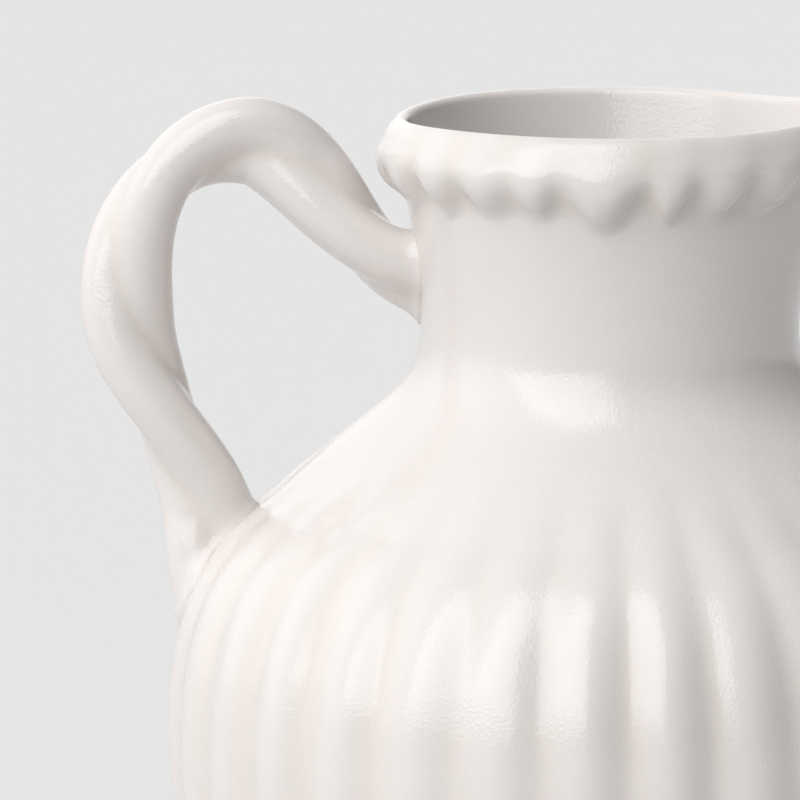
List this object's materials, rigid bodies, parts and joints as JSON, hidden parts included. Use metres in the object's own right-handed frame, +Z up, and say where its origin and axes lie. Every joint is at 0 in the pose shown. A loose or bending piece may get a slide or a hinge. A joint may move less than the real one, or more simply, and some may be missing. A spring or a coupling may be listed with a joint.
{
  "type": "ceramic pitcher",
  "caption": "Round-bellied stoneware pitcher with soft vertical flutes, a gathered collar under the lip, a small spout and a twisted coil handle.",
  "frame": {"origin": "on the pot's axis, in the plane that the foot ring stands on", "axes": "+Z up the pot's axis to the mouth, +X towards the spout, -X towards the handle, +Y to the back when the handle is on the left"},
  "size_m": [0.22, 0.2, 0.2435],
  "materials": {
    "white_glaze": "glossy warm white glaze",
    "bare_stoneware": "matt fired clay"
  },
  "bodies": {
    "root": {"foot_slab": "bare_stoneware", "fluted_body": "white_glaze", "neck": "white_glaze", "gathered_collar": "white_glaze", "handle_coil_outer": "white_glaze", "handle_coil_inner": "white_glaze", "upper_handle_root": "white_glaze", "lower_handle_root": "white_glaze"}
  },
  "joints": []
}
